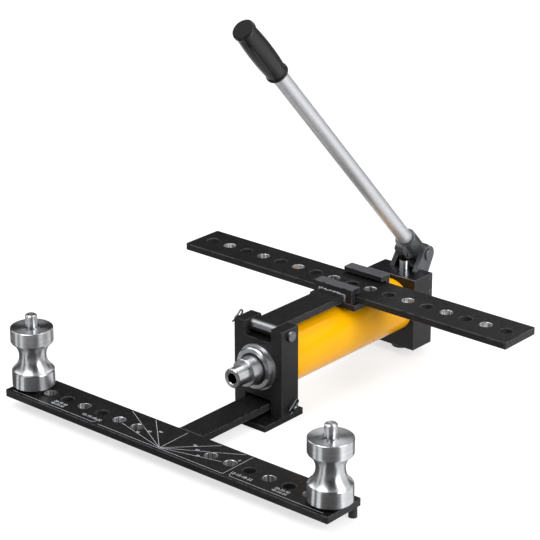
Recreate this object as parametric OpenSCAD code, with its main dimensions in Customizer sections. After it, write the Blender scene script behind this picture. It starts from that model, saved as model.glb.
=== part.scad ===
// Hand-hydraulic pipe bender with a fold-over upper frame.
// Millimetres, +Z up, X along the bars, ram axis along Y and pushing towards -Y.
// The origin is on the floor, in the middle of the machine's length.

/* [Bars] */
// Distance between neighbouring holes in both bars
hole_pitch = 40; // [38:1:44]
// Holes from the middle of a bar to its last hole
holes_each_side = 8; // [7:1:9]
// Holes left out of the lower bar on each side of its middle
plain_pitches = 1; // [1:1:2]
// Bar beyond its last hole
bar_margin = 27; // [22:1:32]
// Width of the lower bar
lower_bar_w = 82; // [74:1:90]
// Width of the upper bar
upper_bar_w = 86; // [76:1:92]
// Thickness of both bars and both stems
bar_t = 12; // [10:0.5:13]
// Distance between the two rows of holes, with the upper frame swung back
bar_spacing = 451; // [430:1:470]
// Width of the stems
stem_w = 50; // [42:1:54]
// Play of the roller pins in the free holes
hole_play = 1; // [0.6:0.1:2]

/* [Rollers] */
// Diameter of the rollers
roller_d = 72; // [66:1:76]
// Height of the rollers
roller_h = 103.4; // [98:0.1:110]
// Radius of the pipe groove
groove_r = 30.5; // [27:0.5:32]
// Diameter of the waist at the bottom of the groove
waist_d = 45.7; // [43:0.1:50]
// Height of the groove's middle above the roller's foot
groove_rise = 53; // [50:1:56]
// Diameter of the roller pins
roller_pin_d = 20; // [16:1:22]
// Height of a roller pin above its roller
stub_h = 22.5; // [18:0.5:28]
// Thickness of the thrust washers
washer_t = 5; // [3:0.5:6]

/* [Head and base] */
// Width of the head block
head_w = 103; // [100:1:112]
// Depth of the head block
head_depth = 42; // [38:1:48]
// Width of the two notches that take the stems
notch_w = 57; // [56:1:62]
// Head above the fold axis
ear_rise = 12; // [11:0.5:14]
// Diameter of the hinge barrels
barrel_d = 21.3; // [20:0.1:23]
// Diameter of the hinge pins
hinge_pin_d = 12; // [10:1:13]
// Width of the base plate
base_plate_w = 100; // [90:1:110]
// Length of the base plate
base_plate_len = 99; // [90:1:110]
// Thickness of the base plate
base_plate_t = 10.5; // [8:0.5:12]
// Height of the lower bar's feet
front_foot_h = 19; // [18:0.5:21]
// Diameter of the lower bar's feet
front_foot_d = 14; // [12:1:18]

/* [Cylinder] */
// Outside diameter of the cylinder tube
tube_od = 97; // [94:1:99]
// Wall of the cylinder tube
tube_wall = 8.5; // [7:0.5:10]
// Length of the cylinder tube
tube_len = 314; // [300:1:330]
// Height of the ram axis above the floor
axis_h = 90.3; // [89:0.1:92]
// Diameter of the ram
ram_d = 48; // [44:1:52]
// Diameter of the ram's nose
nose_d = 34; // [28:1:38]
// Length of the ram's nose
nose_len = 28; // [20:1:36]
// Bore in the nose
nose_bore_d = 18; // [12:1:20]
// Travel of the ram
ram_stroke = 240; // [150:5:245]
// Diameter of the gland nut's flange
gland_d = 73; // [70:1:78]
// Thickness of the gland nut's flange
gland_t = 13.5; // [10:0.5:16]

/* [Pump] */
// Width of the pump block
block_w = 105; // [98:1:112]
// Depth of the pump block
block_depth = 52.5; // [50:0.5:58]
// Height of the pump block
block_h = 132.5; // [128:0.5:140]
// Height of the rear foot
rear_foot_h = 14; // [12:0.5:16]
// Diameter of the pump plunger
plunger_d = 18; // [15:0.5:18]
// Distance from the plunger to the lever's fulcrum
lever_arm = 31; // [30:0.5:33]
// Height of the fulcrum above the pump block
fulcrum_rise = 22.8; // [22.6:0.1:25]
// Radius of the fulcrum cheeks
cheek_r = 16; // [14:0.5:18]
// Thickness of the fulcrum cheeks
cheek_t = 9; // [7:0.5:10]
// Diameter of the fulcrum pin
fulcrum_pin_d = 14; // [12:1:15]

/* [Lever] */
// Angle of the lever above the floor
lever_rise = 47.4; // [45:0.1:50]
// Length from the fulcrum to the end of the grip
lever_len = 678; // [640:2:720]
// Outside diameter of the lever tube
lever_d = 27; // [24:1:29]
// Wall of the lever tube
lever_wall = 3; // [2:0.5:4]
// Width of the cast socket
socket_w = 40; // [38:1:44]
// Outside diameter of the cast socket
socket_d = 38.5; // [37:0.5:40]
// Diameter of the socket's eye, round the fulcrum pin
eye_d = 35; // [33:0.5:36]
// Length of the rubber grip
grip_len = 122; // [110:2:150]
// Diameter of the grip's necks, beside its flanges
grip_d = 35; // [33:0.5:36]
// Diameter of the grip's belly
belly_d = 38.8; // [37:0.1:40]
// Diameter of the grip's end flanges
grip_flange_d = 38.4; // [37:0.1:42]

/* [Hidden] */
$fn = 64;

// Clearances and small sizes that several pieces share
cut = 1;              // overrun of a cut past a face
fit = 0.05;           // radial clearance of a close or running fit
gap = 0.3;            // clearance between faces that move past each other
edge = 0.8;           // chamfer on plates and bars
hole_edge = 1;        // chamfer at the mouth of a hole
corner_r = 3;         // rounding of plate corners
layer_gap = 0.3;      // play under the upper bar
rest_gap = 0.4;       // upper frame above the cylinder, at rest
guide_gap = 0.5;      // play beside the upper bar, between its hooks

// Levels
lower_bar_z = front_foot_h;
lower_top = lower_bar_z + bar_t;
lower_pin_z = lower_bar_z + bar_t / 2;
roller_z = lower_top + washer_t + gap;
roller_top = roller_z + roller_h;
ring_t = 1.6;
seat_z = roller_top + gap + ring_t + rest_gap;
tube_top = axis_h + tube_od / 2;
support_t = 11;
support_z = tube_top + rest_gap;
support_top = support_z + support_t;
upper_bar_z = support_top + layer_gap;
upper_top = upper_bar_z + bar_t;
fold_z = (upper_top + seat_z) / 2;
head_z = base_plate_t;
head_top = fold_z + ear_rise;
stem_z = support_top;
block_z = rear_foot_h;
block_top = block_z + block_h;
fulcrum_z = block_top + fulcrum_rise;
lug_lift = 3.8;
plunger_pin_z = fulcrum_z + lug_lift;

// Places along Y, from the lower bar's row of holes to the rear of the cheeks
block_inset = 13;
fold_dy = bar_spacing / 2;
block_dy = fold_dy + head_depth / 2 + tube_len;
plunger_dy = block_dy + block_depth - block_inset;
total_dy = lower_bar_w / 2 + plunger_dy + lever_arm + max(cheek_r, eye_d / 2);
bar_y = lower_bar_w / 2 - total_dy / 2;
fold_y = bar_y + fold_dy;
head_front_y = fold_y - head_depth / 2;
head_back_y = fold_y + head_depth / 2;
upper_y = bar_y + bar_spacing;
block_y = bar_y + block_dy;
block_back_y = block_y + block_depth;
plunger_y = bar_y + plunger_dy;
fulcrum_y = plunger_y + lever_arm;

// Places along X
roller_x = holes_each_side * hole_pitch;
lower_bar_len = 2 * (roller_x + bar_margin);
upper_bar_len = lower_bar_len + 2;
hole_d = roller_pin_d + hole_play;
cheek_x = socket_w / 2 + gap;
ear_x = head_w / 2;

black = "#2c2c2e";
steel = "#b9bbbe";
cast = "#5d5e60";
rubber = "#232325";
yellow = "#f5b800";
zinc = "#a5a7aa";

// Flat outline with round corners
module round_rect(size, r) {
    square([size.x - 2 * r, size.y], center = true);
    square([size.x, size.y - 2 * r], center = true);
    for (sx = [-1, 1], sy = [-1, 1])
        translate([sx * (size.x / 2 - r), sy * (size.y / 2 - r)]) circle(r);
}

// Plate lying flat, centred in X and Y, with chamfered long edges and round corners
module plate(size, r = corner_r) {
    intersection() {
        linear_extrude(size.z) round_rect(size, r);
        rotate([90, 0, 90]) linear_extrude(size.x, center = true)
            chamfered(size.y, size.z, edge);
    }
}

// Upright rectangle with cut corners, standing on the X axis
module chamfered(w, h, c) {
    polygon([[-w / 2 + c, 0], [w / 2 - c, 0], [w / 2, c], [w / 2, h - c],
        [w / 2 - c, h], [-w / 2 + c, h], [-w / 2, h - c], [-w / 2, c]]);
}

// Through hole with chamfered mouths, cut upwards from the origin
module mouth_hole(d, h, c = hole_edge) {
    translate([0, 0, -cut]) cylinder(d = d, h = h + 2 * cut);
    translate([0, 0, h - c]) cylinder(d1 = d, d2 = d + 2 * c + 2 * cut, h = c + cut);
    translate([0, 0, -cut]) cylinder(d1 = d + 2 * c + 2 * cut, d2 = d, h = c + cut);
}

// Rod standing on the origin with a chamfer at its far end
module chamfered_rod(d, h, c) {
    cylinder(d = d, h = h - c);
    translate([0, 0, h - c]) cylinder(d1 = d, d2 = d - 2 * c, h = c);
}

// Lays a shape that stands on Z along +X, centred on the fold or pin axis at y, z
module along_x(x, y, z) {
    translate([x, y, z]) rotate([0, 90, 0]) children();
}

// Ring of a given bore
module ring(d, bore, h) {
    difference() {
        cylinder(d = d, h = h);
        translate([0, 0, -cut]) cylinder(d = bore, h = h + 2 * cut);
    }
}

// Lower frame: bar, stem and hinge barrel in one welded piece
stem_back_dy = fold_dy;
module lower_frame() {
    color(black) difference() {
        union() {
            translate([0, bar_y, lower_bar_z]) plate([lower_bar_len, lower_bar_w, bar_t]);
            translate([0, bar_y + stem_back_dy / 2, lower_bar_z])
                linear_extrude(bar_t) square([stem_w, stem_back_dy], center = true);
            barrel(lower_pin_z);
        }
        for (side = [-1, 1], n = [plain_pitches + 1 : holes_each_side - 1])
            translate([side * n * hole_pitch, bar_y, lower_bar_z]) mouth_hole(hole_d, bar_t);
        for (side = [-1, 1])
            translate([side * roller_x, bar_y, lower_bar_z - cut])
                cylinder(d = roller_pin_d + 2 * fit, h = bar_t + 2 * cut);
        barrel_bore(lower_pin_z);
    }
}

// Hinge barrel across a notch of the head, and the bore for its pin
barrel_len = notch_w - 2 * rest_gap;
module barrel(z) {
    along_x(-barrel_len / 2, fold_y, z) cylinder(d = barrel_d, h = barrel_len);
}
module barrel_bore(z) {
    along_x(-barrel_len / 2 - cut, fold_y, z)
        cylinder(d = hinge_pin_d + 2 * fit, h = barrel_len + 2 * cut);
}

// Round rubber feet under the lower bar's ends, near its rear edge
foot_edge = 9;
module front_feet() {
    color(rubber) for (side = [-1, 1])
        translate([side * (lower_bar_len / 2 - foot_edge),
                bar_y + lower_bar_w / 2 - foot_edge, 0]) {
            chamfered_rod(front_foot_d, front_foot_h, edge);
        }
}

// Base plate under the head, with four counterbored holes for its screws
screw_d = 8;
screw_head_d = 13;
screw_head_t = 6;
screw_bite = 14;
screw_in = 9;
base_front = 41.5;
base_y = head_front_y - base_front + base_plate_len / 2;
module screw_places() {
    for (sx = [-1, 1], sy = [-1, 1])
        translate([sx * (head_w / 2 - screw_in), fold_y + sy * (head_depth / 2 - screw_in), 0])
            children();
}
module base_plate() {
    color(black) difference() {
        translate([0, base_y, 0]) plate([base_plate_w, base_plate_len, base_plate_t]);
        screw_places() {
            translate([0, 0, -cut]) cylinder(d = screw_d + 2 * fit, h = base_plate_t + 2 * cut);
            translate([0, 0, -cut]) cylinder(d = screw_head_d + 2 * gap, h = screw_head_t + cut);
        }
    }
}
module base_screws() {
    color(zinc) screw_places() difference() {
        union() {
            translate([0, 0, edge]) cylinder(d = screw_head_d, h = screw_head_t - edge);
            translate([0, 0, edge]) cylinder(d = screw_d, h = base_plate_t + screw_bite - edge);
        }
        translate([0, 0, edge - cut]) cylinder(d = screw_head_d / 2, h = screw_head_t / 2 + cut, $fn = 6);
    }
}

// Head block: bored for the gland, notched above and below for the stems
neck_d = 60;
pin_hole_d = hinge_pin_d + 2 * fit;
notch_gap = 2;
module head_block() {
    color(black) difference() {
        translate([0, fold_y, head_z]) intersection() {
            linear_extrude(head_top - head_z) round_rect([head_w, head_depth], edge);
            rotate([90, 0, 0]) linear_extrude(head_depth, center = true)
                chamfered(head_w, head_top - head_z, edge);
        }
        notch(fold_z - barrel_d / 2 - notch_gap, head_top + cut);
        notch(head_z - cut, lower_pin_z + barrel_d / 2 + notch_gap);
        for (z = [fold_z, lower_pin_z])
            along_x(-ear_x - cut, fold_y, z) cylinder(d = pin_hole_d, h = head_w + 2 * cut);
        translate([0, head_front_y - cut, axis_h]) rotate([-90, 0, 0])
            cylinder(d = neck_d + 2 * fit, h = head_depth + 2 * cut);
        screw_places() translate([0, 0, head_z - cut])
            cylinder(d = screw_d + 2 * fit, h = screw_bite + edge + cut);
    }
}
module notch(z0, z1) {
    translate([-notch_w / 2, head_front_y - cut, z0])
        cube([notch_w, head_depth + 2 * cut, z1 - z0]);
}

// Hinge pins: a flat round head on one side, and a cross hole for the clip on the other
pin_head_d = 19;
pin_head_t = 5;
pin_tail = 15;
clip_d = 3;
clip_in = 6;
clip_x = ear_x + pin_tail - clip_in;
clip_lean = 130;
module frame_pin(z, side) {
    mirror([side > 0 ? 0 : 1, 0, 0]) difference() {
        union() {
            along_x(-ear_x - gap - pin_head_t, fold_y, z)
                cylinder(d1 = pin_head_d - 2 * edge, d2 = pin_head_d, h = edge);
            along_x(-ear_x - gap - pin_head_t + edge, fold_y, z)
                cylinder(d = pin_head_d, h = pin_head_t - edge);
            along_x(-ear_x - gap, fold_y, z)
                chamfered_rod(hinge_pin_d, head_w + gap + pin_tail, 2 * edge);
        }
        translate([clip_x, fold_y, z]) rotate([clip_lean, 0, 0]) translate([0, 0, -hinge_pin_d])
            cylinder(d = clip_d + 2 * fit, h = 2 * hinge_pin_d);
    }
}
module upper_pin() { color(steel) frame_pin(fold_z, -1); }
module lower_pin() { color(steel) frame_pin(lower_pin_z, 1); }

// Spring clip: one leg through the pin, a loop, and one leg past the pin with a flared tip
clip_drop = 11;
clip_leg = 12;
clip_wrap = hinge_pin_d / 2 + clip_d / 2 + gap;
clip_flare_r = 8;
clip_flare = 40;
module spring_clip(z, side) {
    translate([side * clip_x, fold_y, z]) rotate([clip_lean, 0, 0]) {
        translate([0, 0, -clip_drop]) cylinder(d = clip_d, h = clip_drop + clip_leg);
        translate([0, clip_wrap, -clip_drop]) cylinder(d = clip_d, h = clip_drop + clip_leg / 2);
        clip_bend(clip_wrap / 2, -clip_drop, clip_wrap / 2, 180);
        mirror([0, 0, 1]) clip_bend(clip_wrap + clip_flare_r, -clip_leg / 2, clip_flare_r, clip_flare);
    }
}
// Bend of the clip's wire about y, z, in the YZ plane
module clip_bend(y, z, r, turn) {
    translate([0, y, z]) rotate([0, 90, 0]) rotate([0, 0, -90])
        rotate_extrude(angle = turn) translate([r, 0]) circle(d = clip_d);
}
module upper_pin_clip() { color(steel) spring_clip(fold_z, -1); }
module lower_pin_clip() { color(steel) spring_clip(lower_pin_z, 1); }

// Cylinder tube between the head and the pump block
tube_bore = tube_od - 2 * tube_wall;
module on_axis(y) {
    translate([0, y, axis_h]) rotate([-90, 0, 0]) children();
}
module cylinder_tube() {
    color(yellow) on_axis(head_back_y) difference() {
        union() {
            cylinder(d1 = tube_od - 2 * edge, d2 = tube_od, h = edge);
            translate([0, 0, edge]) cylinder(d = tube_od, h = tube_len - 2 * edge);
            translate([0, 0, tube_len - edge]) cylinder(d1 = tube_od, d2 = tube_od - 2 * edge, h = edge);
        }
        translate([0, 0, -cut]) cylinder(d = tube_bore, h = tube_len + 2 * cut);
    }
}

// Gland nut: bright flange on the head, and a neck that guides the ram
neck_over = 10;
wiper_d = ram_d + 8;
wiper_t = 5;
flange_edge = 2;
rim_t = 2.5;
rim_out = 3.5;
module gland_nut() {
    color(steel) on_axis(head_front_y - gland_t) difference() {
        union() {
            cylinder(d1 = gland_d - 2 * flange_edge, d2 = gland_d, h = flange_edge);
            translate([0, 0, flange_edge]) cylinder(d = gland_d, h = gland_t - flange_edge);
            translate([0, 0, gland_t - rim_t]) cylinder(d = gland_d + 2 * rim_out, h = rim_t);
            cylinder(d = neck_d, h = gland_t + head_depth + neck_over);
        }
        translate([0, 0, -cut])
            cylinder(d = ram_d + 2 * fit, h = gland_t + head_depth + neck_over + 2 * cut);
        translate([0, 0, -cut]) cylinder(d = wiper_d + 2 * fit, h = wiper_t + cut);
    }
}
module rod_wiper() {
    color(rubber) on_axis(head_front_y - gland_t) ring(wiper_d, ram_d + 2 * gap, wiper_t);
}

// Ram: stepped nose with a bore for the formers, rod, and spigot for the piston
ram_reach = 36.5;
nose_edge = 1.6;
shoulder_edge = 1.2;
nose_bore_len = 24;
piston_t = 28;
piston_back_gap = 3;
nut_t = 12;
spigot_d = 30;
piston_back_y = block_y - piston_back_gap - nut_t;
piston_y = piston_back_y - piston_t;
shoulder_y = head_front_y - ram_reach;
nose_y = shoulder_y - nose_len;
module ram() {
    color(steel) difference() {
        union() {
            on_axis(nose_y) {
                cylinder(d1 = nose_d - 2 * nose_edge, d2 = nose_d, h = nose_edge);
                translate([0, 0, nose_edge]) cylinder(d = nose_d, h = nose_len);
            }
            on_axis(shoulder_y) {
                cylinder(d1 = ram_d - 2 * shoulder_edge, d2 = ram_d, h = shoulder_edge);
                translate([0, 0, shoulder_edge])
                    cylinder(d = ram_d, h = piston_y - shoulder_y - shoulder_edge);
            }
            on_axis(piston_y) cylinder(d = spigot_d, h = piston_t + nut_t);
        }
        on_axis(nose_y - cut) cylinder(d = nose_bore_d, h = nose_bore_len + cut);
        on_axis(nose_y - cut)
            cylinder(d1 = nose_bore_d + 2 * hole_edge + 2 * cut, d2 = nose_bore_d, h = hole_edge + cut);
    }
}

// Piston with its seal ring, held on the ram's spigot by a hexagon nut
seal_w = 8;
seal_depth = 4;
module piston() {
    color(steel) on_axis(piston_y) difference() {
        cylinder(d = tube_bore - 2 * fit, h = piston_t);
        translate([0, 0, -cut]) cylinder(d = spigot_d + 2 * fit, h = piston_t + 2 * cut);
        translate([0, 0, (piston_t - seal_w) / 2])
            ring(tube_bore + cut, tube_bore - 2 * seal_depth, seal_w);
    }
}
module piston_seal() {
    color(rubber) on_axis(piston_y + (piston_t - seal_w) / 2 + fit)
        ring(tube_bore - 2 * fit, tube_bore - 2 * seal_depth + 2 * fit, seal_w - 2 * fit);
}
nut_across = 52;
module piston_nut() {
    color(zinc) on_axis(piston_back_y) difference() {
        cylinder(d = nut_across, h = nut_t, $fn = 6);
        translate([0, 0, -cut]) cylinder(d = spigot_d + 2 * fit, h = nut_t + 2 * cut);
    }
}

// Pump block: slots for the cheeks, and bores for the plunger, its bush, the valve and the plug
slot_depth = 46;
slot_front = 4.5;
gland_bush_d = 27;
gland_bush_t = 14;
pump_bore_depth = 82;
valve_stem_d = 12;
valve_stem_len = 20;
valve_rise = 57;
valve_y = block_y + block_depth / 2;
plug_d = 16;
plug_len = 12;
plug_rise = 38;
cheek_screw_d = 6;
cheek_screw_high = 8;
cheek_screw_low = 33;
cheek_screw_in = 5.5;
module pump_block() {
    color(black) difference() {
        translate([0, block_y + block_depth / 2, block_z]) intersection() {
            linear_extrude(block_h) round_rect([block_w, block_depth], edge);
            rotate([90, 0, 0]) linear_extrude(block_depth, center = true)
                chamfered(block_w, block_h, edge);
            rotate([90, 0, 90]) linear_extrude(block_w, center = true)
                chamfered(block_depth, block_h, edge);
        }
        for (side = [-1, 1])
            translate([side * (cheek_x + cheek_t / 2), plunger_y - slot_front - gap, block_top - slot_depth])
                translate([-cheek_t / 2 - fit, 0, 0])
                    cube([cheek_t + 2 * fit, slot_front + gap + block_inset + cut, slot_depth + cut]);
        translate([0, plunger_y, block_top - pump_bore_depth])
            cylinder(d = plunger_d + 2 * fit, h = pump_bore_depth + cut);
        translate([0, plunger_y, block_top - gland_bush_t])
            cylinder(d = gland_bush_d + 2 * fit, h = gland_bush_t + cut);
        translate([-block_w / 2 - cut, valve_y, block_z + valve_rise]) rotate([0, 90, 0])
            cylinder(d = valve_stem_d + 2 * fit, h = valve_stem_len + cut);
        translate([0, block_back_y + cut, block_z + plug_rise]) rotate([90, 0, 0])
            cylinder(d = plug_d + 2 * fit, h = plug_len + cut);
        cheek_screw_places()
            cylinder(d = cheek_screw_d + 2 * fit, h = block_w / 2 - cheek_x - cheek_t + cut);
        translate([0, rear_foot_y, block_z - cut])
            cylinder(d = foot_stud_d + 2 * fit, h = foot_stud_len + cut);
    }
}
module cheek_screw_places() {
    for (side = [0, 1], z = [cheek_screw_high, cheek_screw_low])
        mirror([side, 0, 0])
            translate([block_w / 2, block_back_y - cheek_screw_in, block_top - z])
                rotate([0, -90, 0]) children();
}

// Rear foot: a round rubber pad on a stud in the pump block
rear_foot_d = 34;
foot_stud_d = 10;
foot_stud_len = 12;
rear_foot_y = block_y + block_depth / 2 + rear_foot_d / 4;
module rear_foot() {
    color(rubber) translate([0, rear_foot_y, 0]) {
        cylinder(d1 = rear_foot_d - 2 * edge, d2 = rear_foot_d, h = edge);
        translate([0, 0, edge]) cylinder(d = rear_foot_d, h = rear_foot_h - edge);
        cylinder(d = foot_stud_d, h = rear_foot_h + foot_stud_len);
    }
}

// Oil filler plug in the block's rear face
plug_hex = 22;
plug_head_t = 7;
module filler_plug() {
    color(zinc) translate([0, block_back_y, block_z + plug_rise]) rotate([-90, 0, 0]) {
        cylinder(d = plug_hex, h = plug_head_t, $fn = 6);
        translate([0, 0, -plug_len]) cylinder(d = plug_d, h = plug_len + edge);
    }
}

// Release valve: a fluted hand knob on a stem, on the block's left side
knob_d = 36;
knob_t = 18;
flute_d = 8;
flute_count = 8;
valve_gap = 1;
module release_valve() {
    color(rubber) translate([-block_w / 2, valve_y, block_z + valve_rise]) rotate([0, -90, 0]) {
        translate([0, 0, -valve_stem_len]) cylinder(d = valve_stem_d, h = valve_stem_len + 2 * valve_gap);
        translate([0, 0, valve_gap]) difference() {
            chamfered_rod(knob_d, knob_t, hole_edge);
            for (n = [0 : flute_count - 1]) rotate(n * 360 / flute_count)
                translate([knob_d / 2 + flute_d / 4, 0, -cut]) cylinder(d = flute_d, h = knob_t + 2 * cut);
        }
    }
}

// Plunger gland: a bush let into the block's top
module plunger_gland() {
    color(black) translate([0, plunger_y, block_top - gland_bush_t]) difference() {
        chamfered_rod(gland_bush_d, gland_bush_t, edge / 2);
        translate([0, 0, -cut]) cylinder(d = plunger_d + 2 * fit, h = gland_bush_t + 2 * cut);
    }
}

// Plunger with a flat eye at its top, and the pin that joins it to the lever
plunger_sink = 58;
eye_t = 8;
eye_r = 6.3;
tongue_w = 11;
plunger_pin_d = 7;
eye_neck = 9.5;
module plunger() {
    shoulder = plunger_pin_z - eye_neck;
    color(steel) difference() {
        union() {
            translate([0, plunger_y, block_top - plunger_sink])
                chamfered_rod(plunger_d, shoulder - block_top + plunger_sink, edge);
            translate([-eye_t / 2, plunger_y - tongue_w / 2, shoulder - cut])
                cube([eye_t, tongue_w, eye_neck + cut]);
            along_x(-eye_t / 2, plunger_y, plunger_pin_z) cylinder(r = eye_r, h = eye_t);
        }
        along_x(-eye_t / 2 - cut, plunger_y, plunger_pin_z)
            cylinder(d = plunger_pin_d + 2 * fit, h = eye_t + 2 * cut);
    }
}
module plunger_pin() {
    color(steel) along_x(-nose_w / 2 + gap, plunger_y, plunger_pin_z)
        cylinder(d = plunger_pin_d, h = nose_w - 2 * gap);
}

// Fulcrum cheeks: plates that lean back out of the block's slots, round at the fulcrum
foot_top = block_top - edge;
function tangent(p, c, r, side) =
    let (v = p - c, a = atan2(v.y, v.x) + side * acos(r / norm(v))) c + r * [cos(a), sin(a)];
cheek_front = plunger_y - slot_front;
cheek_back = block_back_y - edge;
module cheek(x) {
    top = [fulcrum_y, fulcrum_z];
    front = [cheek_front, foot_top];
    back = [cheek_back, block_top - slot_depth + gap];
    color(cast) difference() {
        translate([x, 0, 0]) rotate([90, 0, 90]) linear_extrude(cheek_t) {
            translate(top) circle(cheek_r);
            polygon([[cheek_front, block_top - slot_depth + gap], back, tangent(back, top, cheek_r, 1), top,
                tangent(front, top, cheek_r, -1), front]);
        }
        along_x(x - cut, fulcrum_y, fulcrum_z)
            cylinder(d = fulcrum_pin_d + 2 * fit, h = cheek_t + 2 * cut);
    }
}
module cheek_left() { cheek(-cheek_x - cheek_t); }
module cheek_right() { cheek(cheek_x); }
module cheek_screws() {
    len = block_w / 2 - cheek_x - cheek_t - edge;
    color(zinc) cheek_screw_places() translate([0, 0, edge]) difference() {
        cylinder(d = cheek_screw_d, h = len);
        translate([0, 0, -cut]) cylinder(d = cheek_screw_d / 2, h = cheek_screw_d / 2 + cut, $fn = 6);
    }
}

// Fulcrum pin: large flat head on the right, retaining washer on the left
fulcrum_head_d = 21;
fulcrum_head_t = 3;
fulcrum_half = cheek_x + cheek_t + gap;
module fulcrum_pin() {
    color(cast) {
        along_x(-fulcrum_half, fulcrum_y, fulcrum_z) cylinder(d = fulcrum_pin_d, h = 2 * fulcrum_half);
        along_x(fulcrum_half, fulcrum_y, fulcrum_z)
            chamfered_rod(fulcrum_head_d, fulcrum_head_t, edge);
        along_x(-fulcrum_half - fulcrum_head_t, fulcrum_y, fulcrum_z)
            cylinder(d = fulcrum_head_d, h = fulcrum_head_t);
    }
}

// Lever frame of reference: Z along the lever tube, +Y on its upper side
module on_lever() {
    translate([0, fulcrum_y, fulcrum_z]) rotate([90 - lever_rise, 0, 0]) children();
}

// Cast socket: eye at the fulcrum, slotted nose over the plunger, barrel for the tube
socket_start = 8;
socket_len = 46;
tube_start = 24;
nose_w = 20;
nose_r = 7.5;
lug_along = 40;
lug_below = 18.5;
swing = 25;
slot_play = 0.6;
slot_back = 19.5;
pin_far = lever_arm / cos(swing);
pin_dist = norm([lever_arm, lug_lift]);
pin_along = lever_arm * cos(lever_rise) + lug_lift * sin(lever_rise);
pin_below = lever_arm * sin(lever_rise) - lug_lift * cos(lever_rise);
set_d = 6;
set_along = 33;
set_turn = 20;
module lever_socket() {
    color(cast) on_lever() difference() {
        union() {
            translate([-socket_w / 2, 0, 0]) rotate([0, 90, 0]) cylinder(d = eye_d, h = socket_w);
            translate([0, 0, socket_start]) cylinder(d = socket_d, h = socket_len - socket_start - edge);
            translate([0, 0, socket_len - edge]) cylinder(d1 = socket_d, d2 = socket_d - 2 * edge, h = edge);
            rotate([0, 90, 0]) linear_extrude(nose_w, center = true) nose_outline();
        }
        translate([-socket_w / 2 - cut, 0, 0]) rotate([0, 90, 0])
            cylinder(d = fulcrum_pin_d + 2 * fit, h = socket_w + 2 * cut);
        translate([0, 0, tube_start]) cylinder(d = lever_d + 2 * fit, h = socket_len);
        rotate([0, 90, 0]) linear_extrude(nose_w + 2 * cut, center = true)
            on_reach(lever_arm, pin_far, plunger_pin_d / 2 + slot_play, plunger_pin_d / 2 + slot_play, true);
        rotate([0, 90, 0]) linear_extrude(eye_t + 2 * slot_play, center = true)
            on_reach(slot_back, pin_far + eye_r + 2 * slot_play, eye_r + slot_play, socket_d, false);
        on_set_screw() cylinder(d = set_d + 2 * fit, h = socket_d);
    }
}
// Side view of the nose, in minus tube axis and minus lower side
module nose_outline() {
    pin = -[pin_along, pin_below];
    lug = -[lug_along, lug_below];
    run = (lug - pin) / norm(lug - pin);
    low = nose_r * [-run.y, run.x];
    back = nose_r * [pin_below, -pin_along] / pin_dist;
    for (c = [pin, lug]) translate(c) circle(nose_r);
    polygon([[0, 0], pin + back, pin + low, lug + low, lug - [nose_r, 0], [lug.x - nose_r, 0]]);
}
// Strip along the line from the fulcrum through the plunger pin, round at its ends if asked
module on_reach(near, far, above, below, rounded) {
    reach = -[pin_along, pin_below] / pin_dist;
    down = [-reach.y, reach.x];
    if (rounded) for (k = [near, far]) translate(k * reach) circle(above);
    polygon([near * reach - above * down, far * reach - above * down,
        far * reach + below * down, near * reach + below * down]);
}

// Set screw that holds the tube in the socket
module on_set_screw() {
    translate([0, 0, set_along]) rotate([0, 0, -set_turn]) translate([lever_d / 2 + fit, 0, 0])
        rotate([0, 90, 0]) children();
}
module set_screw() {
    color(zinc) on_lever() on_set_screw() difference() {
        cylinder(d = set_d, h = (socket_d - lever_d) / 2 - edge);
        translate([0, 0, (socket_d - lever_d) / 2 - edge - set_d / 2]) cylinder(d = set_d / 2, h = set_d, $fn = 6);
    }
}

// Lever tube from the socket into the grip
grip_cap_t = 6;
module lever_tube() {
    color(steel) on_lever() translate([0, 0, tube_start + gap])
        ring(lever_d, lever_d - 2 * lever_wall, lever_len - grip_cap_t - tube_start - 2 * gap);
}

// Rubber grip: bellied body between two flanges, with a closed end and four long grooves
cap_t = 9;
flange_t = 5.5;
cap_r = 4;
neck_len = 5;
belly_steps = 7;
groove_cut_r = 5;
groove_cut_depth = 1.5;
groove_cut_len = 70;
groove_turn = 49;
module lever_grip() {
    z0 = lever_len - grip_len;
    z1 = z0 + flange_t;
    z2 = lever_len - cap_t;
    mid = (z1 + z2) / 2;
    rn = grip_d / 2;
    rf = grip_flange_d / 2;
    half = (z2 - z1) / 2 - neck_len;
    swell = (belly_d - grip_d) / 2;
    color(rubber) on_lever() difference() {
        rotate_extrude() polygon(concat(
            [[0, z0]], quarter(rf, z0, rf - rn, -1), quarter(rf, z1, rf - rn, 1),
            [for (k = [-belly_steps : belly_steps])
                [rn + swell * (1 - pow(k / belly_steps, 2)), mid + half * k / belly_steps]],
            quarter(rf, z2, rf - rn, -1), quarter(rf, lever_len, cap_r, 1),
            [[0, lever_len]]));
        translate([0, 0, z0 - cut])
            cylinder(d = lever_d + 2 * fit, h = grip_len - grip_cap_t + cut);
        for (side = [0, 180], turn = [-1, 1]) rotate(side + turn * groove_turn)
            translate([belly_d / 2 + groove_cut_r - groove_cut_depth, 0, mid - groove_cut_len / 2]) {
                cylinder(r = groove_cut_r, h = groove_cut_len);
                for (k = [0, 1]) translate([0, 0, k * groove_cut_len]) sphere(groove_cut_r);
            }
    }
}
// Points of a round corner of radius r, out to rf and at height z, on the lower or upper side
function quarter(rf, z, r, side) = [for (k = [0 : 3])
    let (a = side < 0 ? 30 * k - 90 : 30 * k) [rf - r + r * cos(a), z - side * r + r * sin(a)]];

// Upper stem: plate from the hinge barrel to the hooks
plate_over = 2.5;
wall_t = 8.5;
hook_front_y = upper_y - upper_bar_w / 2 - guide_gap - wall_t;
module upper_stem() {
    color(black) difference() {
        union() {
            translate([-stem_w / 2, fold_y, stem_z])
                cube([stem_w, hook_front_y - fold_y, bar_t]);
            barrel(fold_z);
        }
        barrel_bore(fold_z);
    }
}

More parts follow.
